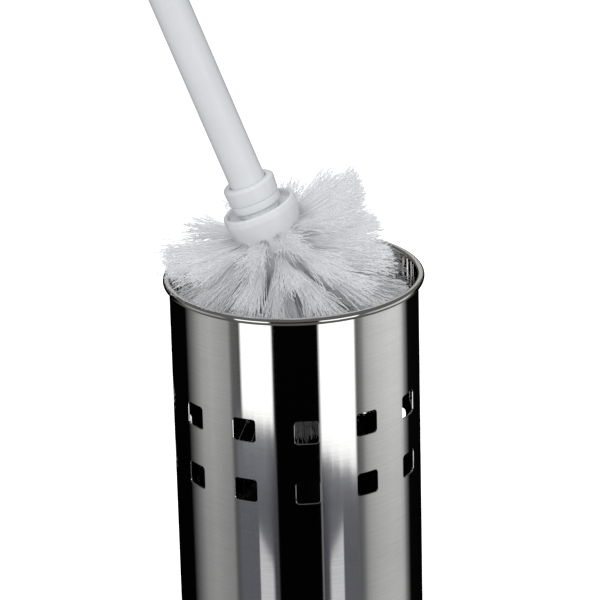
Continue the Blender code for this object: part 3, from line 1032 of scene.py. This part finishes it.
class BrushHead:
    """The hub and its rows of bristles, all of which turn with the head."""

    ROWS = (
        BristleRow(12, 165, 0.27, 0.20, 11), BristleRow(12, 130, 0.28, 0.18, 23),
        BristleRow(12, 115, 0.28, 0.18, 37), BristleRow(11, 90, 0.26, 0.18, 41),
        BristleRow(10, 90, 0.28, 0.18, 53), BristleRow(8, 90, 0.33, 0.20, 67),
        BristleRow(6, 90, 0.42, 0.22, 79), BristleRow(4, 90, 0.60, 0.28, 83))
    TIP_WAVES = (3.4 * MM, 5.3 * MM)

    def __init__(self, line: BrushLine, shell: HolderShell) -> None:
        """Measure the head.

        Args:
            line: the brush's line.
            shell: the holder's wall, which presses the bristles in.
        """
        self.line = line
        self.shell = shell
        radius, low, _ = line.span("brush_hub")
        self.hub = Hub(radius, -low)
        self.radius, _, self.shoulder = line.span("bristle_row_1")
        self.tip = line.span("bristle_end_tuft")[1]

    def build(self, finishes: Finishes) -> None:
        """Make the hub and the bristles."""
        Dress(finishes.white, "head", "white_plastic").turn(
            "hub", "brush_hub", self.hub.outline(), 144, self.line.placing, Shade.PLAIN)
        trim = self._trim()
        tool = self.bristler(self.line.placing)
        roots = self.hub.side(8.0 * MM, 40)
        end = self.tip + self.radius
        surface = [(self.radius, self.shoulder)] + arc((0, end), (self.radius,) * 2, 0, -90, 40)
        for i, row in enumerate(self.ROWS):
            root, aim = along(roots, (i + 0.5) / len(self.ROWS)), along(surface, (i + 0.5) / len(self.ROWS))
            rise = math.atan2(aim[1] - root[1], aim[0] - root[0])
            if i == 0:
                rise += math.radians(1.5)
            is_end = row is self.ROWS[-1]
            name = "bristles_end" if is_end else f"bristles_{i + 1}"
            tufts = tool.run(name, {
                "Trim": trim, "Tufts": row.tufts, "Strands": row.strands, "Strands per wisp": 4,
                "Root radius": root[0], "Root height": root[1], "Tuft radius": (2.3 if i < 5 else 1.9) * MM,
                "Rise": rise, "Turn": math.pi / row.tufts * (i % 2) + 0.335, "Fan": row.fan, "Lift": row.lift,
                "Thickness": 0.12 * MM, "Crimp": 0.34 * MM, "Seed": row.seed,
                "Splay": (4.5 if i == 0 else 8.0) * MM,
                "Mouth": self.shell.top - 1.2 * MM, "Room": self.shell.inner - 0.45 * MM,
                "Material": finishes.nylon})
            node = "bristle_end_tuft" if is_end else f"bristle_row_{i + 1}"
            dress(tufts, finishes.nylon, "head", "white_nylon", node)
        bpy.data.objects.remove(trim, do_unlink=True)

    def _trim(self) -> bpy.types.Object:
        """Return the surface that the strands are cut at, in the brush's frame."""
        radius, top = self.radius + 0.3 * MM, 14 * MM
        outline = [(0, top), (radius, top)] + arc((0, self.tip + self.radius), (radius,) * 2, 0, -90, 24)
        outline[-1] = (0, outline[-1][1])
        return linked("trim", turned_mesh("trim", outline, 64))

    @classmethod
    def bristler(cls, placing: Matrix) -> Tool:
        """Return the tool that grows one row of tufts.

        Args:
            placing: the matrix from the brush's frame to the row frame.

        Returns:
            The tool.
        """
        tool = Tool("grow_tufts")
        trim = tool.knob("Trim", "Object")
        tufts, strands, in_wisp, seed = (
            tool.knob(name, "Int") for name in ("Tufts", "Strands", "Strands per wisp", "Seed"))
        root_radius, root_height, tuft_radius, rise, turn, fan = (
            tool.knob(name) for name in ("Root radius", "Root height", "Tuft radius", "Rise", "Turn", "Fan"))
        lift, thickness, crimp, mouth, room, splay = (
            tool.knob(name) for name in ("Lift", "Thickness", "Crimp", "Mouth", "Room", "Splay"))
        material = tool.knob("Material", "Material")

        def chance(low: Input, high: Input, who: Wire, salt: int) -> Wire:
            """Return a random number or vector that is the same for every equal who."""
            vector = isinstance(low, tuple)
            ending, kind = ("", "FLOAT_VECTOR") if vector else ("_001", "FLOAT")
            limits = {"Min" + ending: low, "Max" + ending: high, "ID": who, "Seed": seed + float(salt)}
            return tool.add("FunctionNodeRandomValue", {"data_type": kind}, limits, "Value" + ending)

        def stray(who: Wire, salt: int) -> Wire:
            """Return a random vector, each part from -1 to 1."""
            return chance((-1, -1, -1), (1, 1, 1), who, salt)

        def vectors(operation: str, first: Input, second: Input = (0, 0, 0), **more: Input) -> Wire:
            """Return a Vector Math node's result."""
            return tool.add("ShaderNodeVectorMath", {"operation": operation}, {0: first, 1: second, **more})

        def times(vector: Wire, number: Wire) -> Wire:
            """Return a vector made longer by a number."""
            return vectors("SCALE", vector, Scale=number)

        def aimed(azimuth: Wire, height: Wire) -> Wire:
            """Return the direction at these two angles."""
            flat = tool.maths("COSINE", height)
            return tool.join(tool.maths("COSINE", azimuth) * flat, tool.maths("SINE", azimuth) * flat,
                             tool.maths("SINE", height))

        def keep(geometry: Wire, name: str, value: Wire) -> Wire:
            """Return the geometry with a value stored on its points."""
            kind = "FLOAT_VECTOR" if value.socket.type == "VECTOR" else "FLOAT"
            return tool.add("GeometryNodeStoreNamedAttribute", {"data_type": kind, "domain": "POINT"}, {
                "Geometry": geometry, "Name": name, "Value": value})

        def read(name: str, kind: str = "FLOAT_VECTOR") -> Wire:
            """Return a stored value."""
            node = "GeometryNodeInputNamedAttribute"
            return tool.add(node, {"data_type": kind}, {"Name": name}, "Attribute")

        # Where each strand starts, and where it aims.
        strand = tool.add("GeometryNodeInputIndex")
        tuft = tool.maths("FLOOR", strand / strands)
        wisp = tool.maths("FLOOR", strand / in_wisp)
        sideways, upwards, _ = tool.split(stray(wisp, 1) * 0.62 + stray(strand, 2) * 0.44)
        lean, nod, shift = tool.split(stray(tuft, 3))
        stand = turn + tuft / tufts * (2 * math.pi) + lean * (0.05 * fan / 0.2)
        aim = aimed(stand + sideways * fan + shift * 0.05, rise + upwards * lift + nod * 0.05)
        cos_stand, sin_stand = tool.maths("COSINE", stand), tool.maths("SINE", stand)
        right, up, sunk = tool.split(stray(strand, 4))
        across, raised = (
            (wide * 0.6 + own * 0.4) * tuft_radius for wide, own in ((sideways, right), (upwards, up)))
        root = (times(tool.join(cos_stand, sin_stand, 0.0), root_radius - 0.7 * MM - sunk * (0.2 * MM))
                + times(tool.join(sin_stand * -1.0, cos_stand, 0.0), across)
                + tool.join(0.0, 0.0, root_height + raised))

        # How far it reaches: to the trimmed surface, and further where the holder spreads the brush.
        surface = tool.add("GeometryNodeObjectInfo", {}, {"Object": trim}, "Geometry")
        hit = tool.add("GeometryNodeRaycast", {}, {
            "Target Geometry": surface, "Source Position": root, "Ray Direction": aim,
            "Ray Length": 0.2}, "Hit Distance")
        longer = tool.smooth(chance(0.0, 1.0, strand, 5), 0.93, 1.0) * 1.8 + 0.45
        splayed = tool.smooth(cos_stand * -1.0, 0.0, 0.9) * splay + 0.5 * MM
        reach = hit + longer * splayed - chance(0.0, 1.2 * MM, strand, 13) - chance(0.0, 0.9 * MM, wisp, 6)

        # One straight line per strand, which carries what bends it.
        side = vectors("NORMALIZE", vectors("CROSS_PRODUCT", aim, (0.12, 0.07, 1.0)))
        lines = tool.add("GeometryNodePoints", {}, {
            "Count": tufts * strands, "Position": (0, 0, 0)}, "Geometry")
        for name, value in {
                "root": root, "aim": aim, "core": aimed(stand, rise), "side": side,
                "over": vectors("CROSS_PRODUCT", aim, side),
                "bow": stray(wisp, 7) * (0.9 * MM) + stray(strand, 8) * (0.5 * MM), "reach": reach,
                "tone": chance(0.0, 1.0, wisp, 9) * 0.6 + chance(0.0, 1.0, strand, 10) * 0.4,
                "phase": chance(0.0, 40.0, strand, 12)}.items():
            lines = keep(lines, name, value)
        straight = tool.add("GeometryNodeCurvePrimitiveLine", {}, {"Start": (0, 0, 0), "End": (0, 0, 1)})
        straight = tool.add("GeometryNodeResampleCurve", {"mode": "COUNT"}, {"Curve": straight, "Count": 15})
        lines = tool.add("GeometryNodeInstanceOnPoints", {}, {
            "Points": lines, "Instance": straight}, "Instances")
        lines = tool.add("GeometryNodeRealizeInstances", {}, {0: lines})

        # Bent: together at the root, opening towards the tip, bowed and crimped.
        share = tool.add("GeometryNodeSplineParameter", {}, {}, "Factor")
        run = share * read("reach", "FLOAT")
        loose = tool.smooth(share, 0.3, 1.1) * crimp
        phase = read("phase", "FLOAT")
        wave, sway = (
            run * (2 * math.pi / length) + phase * shifted
            for length, shifted in zip(cls.TIP_WAVES, (1.0, 1.7)))
        bent = (
            read("root") + times(read("core"), run)
            + times(read("aim") - read("core"), run * tool.maths("POWER", share, 0.55))
            + times(read("bow"), share * share) + times(read("side"), tool.maths("SINE", wave) * loose)
            + times(read("over"), tool.maths("SINE", sway) * loose))
        lines = tool.add("GeometryNodeSetPosition", {}, {"Geometry": lines, "Position": bent})
        lines = keep(lines, "along", share)

        # Stood in its place, and pressed in by the holder's wall.
        stood = tool.add("GeometryNodeTransform", {}, {
            "Geometry": lines, "Translation": tuple(placing.to_translation()),
            "Rotation": placing.to_euler()})
        x, y, z = tool.split(tool.add("GeometryNodeInputPosition"))
        free = tool.maths("MAXIMUM", z - mouth, 0.0) * 3.0 + room
        squeeze = tool.maths("MINIMUM", free / tool.maths("SQRT", x * x + y * y + 1e-9), 1.0)
        held = tool.add("GeometryNodeSetPosition", {}, {
            "Geometry": stood, "Position": tool.join(x * squeeze, y * squeeze, z)})
        section = tool.add("GeometryNodeCurvePrimitiveCircle", {}, {"Resolution": 3, "Radius": thickness})
        solid = tool.add("GeometryNodeCurveToMesh", {}, {
            "Curve": held, "Profile Curve": section, "Fill Caps": True})
        smooth = tool.add("GeometryNodeSetShadeSmooth", {}, {"Geometry": solid, "Shade Smooth": True})
        tool.close(smooth, material)
        return tool


# ---------------------------------------------------------------- handle, lid and grip

@dataclass(frozen=True)
class Handle:
    """The ferrule, the hollow rod and the tie rod with its nut.

    Attributes:
        line: the brush's line.
        fit: gap between neighbouring pieces.
        wall: thickness of the rod's wall.
        groove: height of the thin groove between the collars.
        spigot: radius of the ferrule's spigot in the hub.
        steps: faces round the axis.
    """

    line: BrushLine
    fit: float = 0.3 * MM
    wall: float = 1.8 * MM
    groove: float = 3.6 * MM
    spigot: float = 5 * MM
    steps: int = 128

    def build(self, finishes: Finishes) -> None:
        """Make the four pieces."""
        placing = self.line.placing
        collar, low, top = self.line.span("handle_ferrule")
        rod, rod_low, rod_top = self.line.span("handle_rod")
        tie, tie_low, tie_top = self.line.span("tie_rod")
        bore, socket = rod + self.fit, rod_low - self.fit
        foot, neck, seat = collar - 0.5 * MM, collar - 0.7 * MM, -2.2 * MM
        slot, tie_bore, tie_end = neck - 0.3 * MM, tie + self.fit, tie_low - self.fit
        plug, step = neck - 1.6 * MM, 0.4 * MM
        white = Dress(finishes.white, "handle", "white_plastic")
        steel = Dress(finishes.steel, "handle", "plain_steel")
        white.turn("ferrule", "handle_ferrule", rounded([
            (0, tie_end, 0), (tie_bore, tie_end, 0), (tie_bore, socket, 0.2 * MM),
            (bore, socket, 0.2 * MM), (bore, top, 0.4 * MM), (collar, top, 1.3 * MM),
            (foot, self.groove + 0.3 * MM, 0.25 * MM), (slot, self.groove + 0.2 * MM, 0.08 * MM),
            (slot, self.groove - 0.2 * MM, 0.08 * MM), (neck, self.groove - 0.35 * MM, 0.25 * MM),
            (neck, step, 0.35 * MM), (plug, step, 0.2 * MM), (plug, seat, 0.4 * MM),
            (self.spigot, seat, 0.4 * MM), (self.spigot, low, 0.5 * MM), (0, low, 0)]),
            self.steps, placing, Shade.PLAIN)
        inside, ease = rod - self.wall, 0.3 * MM
        white.turn("rod", "handle_rod", rounded([
            (rod, rod_top, ease), (rod, rod_low, ease), (inside, rod_low, ease), (inside, rod_top, ease)],
            True), self.steps, placing)
        steel.turn("tie", "tie_rod", self._threaded(tie, tie_low, tie_top), 48, placing, Shade.PLAIN)
        nut, nut_low, nut_top = self.line.span("tie_nut")
        hole, chamfer = tie_bore / math.cos(math.pi / 6), 0.3 * MM
        steel.turn("nut", "tie_nut", rounded([
            (nut, nut_top, chamfer), (nut, nut_low, chamfer), (hole, nut_low, 0), (hole, nut_top, 0)],
            True, 2), 6, placing, Shade.PLAIN)

    @staticmethod
    def _threaded(radius: float, low: float, high: float) -> list[Point]:
        """Return a rod's section with thread-like grooves at both ends."""
        pitch, depth, length = 0.8 * MM, 0.3 * MM, 12 * MM
        outline = [(0.0, high), (radius - depth, high)]
        turns = int(length / pitch)
        for start in (high, low + length):
            for i in range(turns):
                z = start - (i + 0.5) * pitch
                outline += [(radius, z), (radius - depth, z - pitch / 2)]
            outline.append((radius, start - length) if start == high else (radius - depth, low))
        return outline + [(0.0, low)]


@dataclass(frozen=True)
class LidAndGrip:
    """The lid that rides on the rod, and the steel grip above it.

    Attributes:
        line: the brush's line.
        rod: radius of the rod.
        fit: gap between neighbouring pieces.
        flange: thickness of the lid insert's flange.
        boss: radius of the lid insert's boss.
        steps: faces round the axis.
    """

    line: BrushLine
    rod: float
    fit: float = 0.3 * MM
    flange: float = 2 * MM
    boss: float = 12 * MM
    steps: int = 192

    def build(self, finishes: Finishes) -> None:
        """Make the five pieces."""
        placing, hole = self.line.placing, self.rod + self.fit
        edge, low, top = self.line.span("lid_plate")
        ease = (top - low) * 0.48
        white = Dress(finishes.white, "handle", "white_plastic")
        steel = Dress(finishes.grip, "handle", "polished_steel")
        Dress(finishes.lid, "handle", "polished_steel").turn("lid", "lid_plate", rounded([
            (edge, top, ease), (edge, low, ease), (hole, low, 0.1 * MM), (hole, top, 0.15 * MM)], True),
            self.steps, placing)
        flange, hub_low, under = self.line.span("lid_insert")
        ledge, boss = under - self.flange, self.boss
        white.turn("lid_under", "lid_insert", rounded([
            (flange, under, 0.2 * MM), (flange, ledge, 0.8 * MM), (boss, ledge, 2 * MM),
            (boss, hub_low, 1 * MM), (hole, hub_low, 0.3 * MM), (hole, under, 0.2 * MM)], True),
            self.steps, placing)
        core, core_low, core_top = self.line.span("grip_core")
        rod_top, tie = self.line.span("handle_rod")[2] + self.fit, self.line.span("tie_rod")[0] + self.fit
        white.turn("grip_inside", "grip_core", rounded([
            (core, core_top, 0.4 * MM), (core, core_low, 0.4 * MM), (hole, core_low, 0.3 * MM),
            (hole, rod_top, 0.1 * MM), (tie, rod_top, 0.1 * MM), (tie, core_top, 0.2 * MM)], True),
            96, placing)
        grip, grip_low, grip_top = self.line.span("grip_tube")
        inside, lip = core + self.fit, 0.3 * MM
        steel.turn("grip", "grip_tube", rounded([
            (grip, grip_top, lip), (grip, grip_low, lip), (inside, grip_low, lip / 2),
            (inside, grip_top, lip / 2)], True), 128, placing)
        cap, plug_low, cap_top = self.line.span("grip_cap")
        seat = grip_top + self.fit
        steel.turn("grip_end", "grip_cap", rounded([
            (0, cap_top, 0), (cap, cap_top, 1.5 * MM), (cap, seat, 0.25 * MM), (core, seat, 0.1 * MM),
            (core, plug_low, 0.6 * MM), (0, plug_low, 0)], steps=10), 128, placing, Shade.PLAIN)


# ---------------------------------------------------------------- studio

@dataclass(frozen=True)
class Stop:
    """One place in the upright bands that polished steel sees round it.

    Attributes:
        turn: azimuth in degrees from -Y towards +X.
        level: brightness there.
    """

    turn: float
    level: float


class Studio:
    """The camera, the pale floor and the soft light."""

    BANDS = (
        Stop(-180, 0.001), Stop(-121, 0.001), Stop(-113, 0.14), Stop(-98, 0.42), Stop(-86, 0.48),
        Stop(-65, 0.36), Stop(-61.5, 0.14), Stop(-53.2, 0.10), Stop(-50.8, 1.6), Stop(-23, 1.6),
        Stop(-21, 0.001), Stop(20.2, 0.001), Stop(22.2, 1.6), Stop(54.6, 1.6), Stop(56.6, 0.12),
        Stop(62.5, 0.24), Stop(66.5, 0.46), Stop(71, 0.56), Stop(80, 0.66), Stop(97, 0.75),
        Stop(110, 0.73), Stop(115, 0.61), Stop(119, 0.32), Stop(122, 0.18), Stop(127, 0.003),
        Stop(180, 0.001))
    BANDS_END = -23.15
    CONES = ((-38.5, 1.0, -24.66), (40.6, -1.0, -24.57))
    EYE = Vector((0.0, -1.2018, 0.7084))
    AIM = Vector((0.0022, 0.0, 0.2537))
    ROLL = math.radians(-1.48)
    LENS = 201.5
    FLOOR = 24.0

    def build(self) -> None:
        """Make the studio."""
        self._world()
        self._floor()
        self._light("key", (-0.25, -1.7, 1.2), 1.1, 17.0)
        self._light("top", (0.1, -0.1, 1.9), 1.2, 6.0)
        self._camera()

    def _camera(self) -> None:
        """Add the camera, with everything in focus."""
        lens = bpy.data.cameras.new("camera")
        lens.lens, lens.sensor_width = self.LENS, 36.0
        lens.clip_end = 30.0
        camera = linked("camera", lens)
        camera.location = self.EYE
        camera.rotation_mode = "QUATERNION"
        look = (self.AIM - self.EYE).to_track_quat("-Z", "Y")
        camera.rotation_quaternion = look @ Quaternion((0, 0, 1), self.ROLL)
        bpy.context.scene.camera = camera
        bpy.context.scene.view_settings.view_transform = "Standard"

    def _light(self, name: str, place_at: Corner, size: float, power: float) -> None:
        """Add an area light that faces the object and doesn't show in reflections."""
        lamp = bpy.data.lights.new(name, "AREA")
        lamp.shape, lamp.size, lamp.energy = "DISK", size, power
        light = linked(name, lamp)
        light.location = place_at
        light.rotation_mode = "QUATERNION"
        light.rotation_quaternion = (self.AIM - Vector(place_at)).to_track_quat("-Z", "Y")
        light.visible_glossy = False
        light.visible_camera = False

    def _floor(self) -> None:
        """Add the pale floor."""
        mesh = bpy.data.meshes.new("floor")
        half = self.FLOOR / 2
        corners = [(x * half, y * half, 0) for x, y in ((-1, -1), (1, -1), (1, 1), (-1, 1))]
        mesh.from_pydata(corners, [], [(0, 1, 2, 3)])
        floor = linked("floor", mesh)
        material, graph, shader = new_material("floor")
        paper = graph.noise(graph.add("ShaderNodeTexCoord", {}, {}, "Object"), 30.0, 3.0)
        feed(graph, shader, {
            "Base Color": graph.blend(paper, (0.90, 0.90, 0.90, 1.0), (0.92, 0.92, 0.92, 1.0)),
            "Roughness": 0.9, "Specular IOR Level": 0.1,
            "Emission Color": (1.0, 1.0, 1.0, 1.0), "Emission Strength": 0.85})
        mesh.materials.append(material)
        floor.visible_glossy = False
        floor.visible_diffuse = False

    def _world(self) -> None:
        """Light the scene: plain white behind it, even light on matt surfaces, bands in reflections."""
        world = bpy.data.worlds.new("studio")
        world.use_nodes = True
        world.node_tree.nodes.clear()
        graph = Graph(world.node_tree)
        way = graph.add("ShaderNodeVectorMath", {"operation": "NORMALIZE"}, {
            0: graph.add("ShaderNodeTexCoord", {}, {}, "Generated")})
        x, y, z = graph.split(way)
        turn = graph.maths("ARCTAN2", x, y * -1.0) * math.degrees(1)
        height = graph.maths("ARCSINE", z) * math.degrees(1)
        seen = self._reflected(graph, turn, height)
        path = graph.add("ShaderNodeLightPath")
        backs = [
            graph.add("ShaderNodeBackground", {}, {"Color": colour, "Strength": strength})
            for colour, strength in (
                ((0.97, 0.985, 1.0, 1.0), 0.52), (seen, 1.0), ((1.0, 1.0, 1.0, 1.0), 1.0))]
        mixed = backs[0]
        for ray, back in zip(("Is Glossy Ray", "Is Camera Ray"), backs[1:]):
            mixed = graph.add("ShaderNodeMixShader", {}, {0: path.of(ray), 1: mixed, 2: back})
        graph.add("ShaderNodeOutputWorld", {}, {"Surface": mixed})
        bpy.context.scene.world = world

    def _reflected(self, graph: Graph, turn: Wire, height: Wire) -> Wire:
        """Return what mirrors see.

        Args:
            graph: the world's graph.
            turn: azimuth in degrees.
            height: elevation in degrees.

        Returns:
            The colour.
        """
        stops = [((stop.turn + 180) / 360, (stop.level,) * 3) for stop in self.BANDS]
        bands = graph.add("ShaderNodeValToRGB", {"stops": stops}, {0: turn / 360 + 0.5}, "Color")
        aside = graph.maths("ABSOLUTE", turn)
        lower = 1.0 - (1.0 - graph.smooth(height, -25.2, -21.2)) * 0.28
        seen = graph.join(*(graph.split(bands)[0] * lower,) * 3)
        # The two white bands end above a dim, cool stretch with a ragged edge.
        ragged = graph.noise(graph.join(turn * 0.12, height * 0.4, 0.0), detail=3.0)
        limit = self.BANDS_END - turn * 0.009 + (ragged - 0.5) * 0.4
        front = graph.smooth(aside, 19.2, 22.0) * (1.0 - graph.smooth(aside, 56.0, 61.0))
        under = (1.0 - graph.smooth(height, limit - 0.09, limit + 0.09)) * front
        grain = graph.noise(graph.join(turn * 0.6, height * 22.0, 0.0))
        dim = 0.125 + graph.smooth(height, -24.4, -23.3) * 0.05
        dim = dim * (graph.smooth(aside, 19.0, 32.0) * 0.6 + 0.4) * (grain * 1.2 + 0.4)
        seen = graph.blend(under, seen, graph.join(dim, dim * 1.02, dim * 1.15))
        # Two bright cones stand in that stretch, upright on their outer sides.
        for at, side, apex in self.CONES:
            beside = (turn - at) * side
            inside = (apex - height) * 24.0 - beside
            share = graph.smooth(inside, -0.6, 1.2) * graph.smooth(beside, -1.0, 0.6)
            share = share * (1.0 - graph.smooth(beside, 11.0, 15.0))
            seen = graph.blend(share, seen, (0.66, 0.66, 0.68, 1.0))
        # A grey ceiling, brighter far behind the object, and a grey floor.
        behind = graph.smooth(aside, 150.0, 158.0) * graph.smooth(height, 8.0, 14.0)
        level = behind * 0.42 + 0.13
        sky = graph.join(level, level * 0.98, level * 0.94)
        seen = graph.blend(graph.smooth(height, 2.0, 8.0), seen, sky)
        seen = graph.blend(behind, seen, sky)
        return graph.blend(graph.smooth(height, -33.0, -27.0), (0.12, 0.117, 0.11, 1.0), seen)


def main() -> None:
    """Build the looks of the whole object."""
    logging.basicConfig(level=logging.INFO, format="%(message)s")
    line = BrushLine.of_joint("head_unscrew")
    low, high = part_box("holder_shell")
    finishes = Finishes.mixed(line.placing, high.z)
    shell = HolderShell(low.z, high.z, high.x)
    dress(shell.build(finishes.wall), finishes.wall, "holder", "polished_steel", "holder_shell")
    HolderBase(shell).build(finishes)
    DripCup(shell).build(finishes)
    BrushHead(line, shell).build(finishes)
    Handle(line).build(finishes)
    LidAndGrip(line, line.span("handle_rod")[0]).build(finishes)
    Studio().build()


if __name__ == "__main__":
    main()
